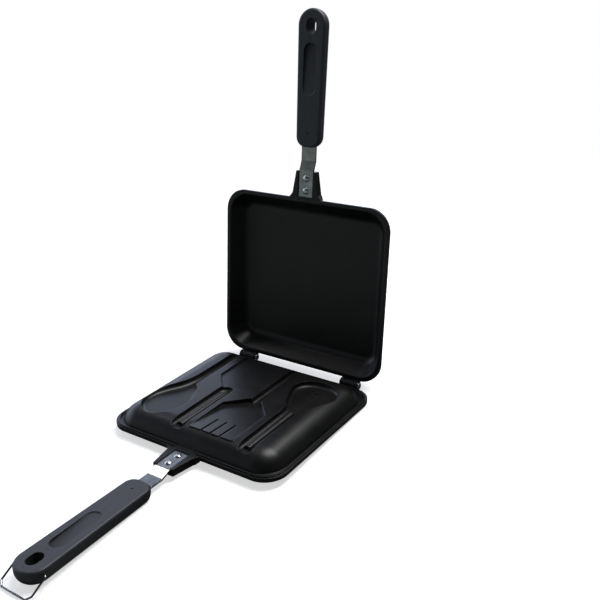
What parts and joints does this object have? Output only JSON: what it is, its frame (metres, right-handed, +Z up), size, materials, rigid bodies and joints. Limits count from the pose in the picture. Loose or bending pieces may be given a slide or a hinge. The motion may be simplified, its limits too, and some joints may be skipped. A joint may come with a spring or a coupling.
{
  "type": "stovetop sandwich toaster",
  "caption": "Hinged stovetop sandwich toaster with a raised utensil-relief block, a shallow tray lid, riveted strip handles and a wire latch loop.",
  "frame": {"origin": "centre of the lower half's plate, in the plane of its rim's underside", "axes": "+Z up out of the lower half, +Y from the handles towards the hinges, +X to the right seen from the handles"},
  "size_m": [0.185, 0.406, 0.3588],
  "materials": {
    "coating": "matte black non-stick coat on cast aluminium",
    "steel": "plain rolled steel strip",
    "rivets": "bright domed rivet heads",
    "phenolic": "satin dark grey moulded phenolic",
    "pins": "bright plated pin",
    "wire": "drawn steel wire"
  },
  "bodies": {
    "base": {"base_plate": "coating", "base_strip": "steel", "base_rivets": "rivets", "base_handle": "phenolic", "base_handle_screw": "steel"},
    "lid": {"lid_plate": "coating", "lid_strip": "steel", "lid_rivets": "rivets", "lid_handle": "phenolic", "lid_handle_screw": "steel", "hinge_pin_left": "pins", "hinge_pin_right": "pins"},
    "bail": {"latch_bail": "wire"}
  },
  "joints": [
    {"name": "lid_hinge", "type": "hinge", "parent": "base", "child": "lid", "pos_m": [0, 0.0895, 0.0043], "axis": [1, 0, 0], "range_deg": [0, 96.2]},
    {"name": "bail_hinge", "type": "hinge", "parent": "base", "child": "bail", "pos_m": [0, -0.2442, -0.0015], "axis": [1, 0, 0], "range_deg": [-78, 62]}
  ]
}
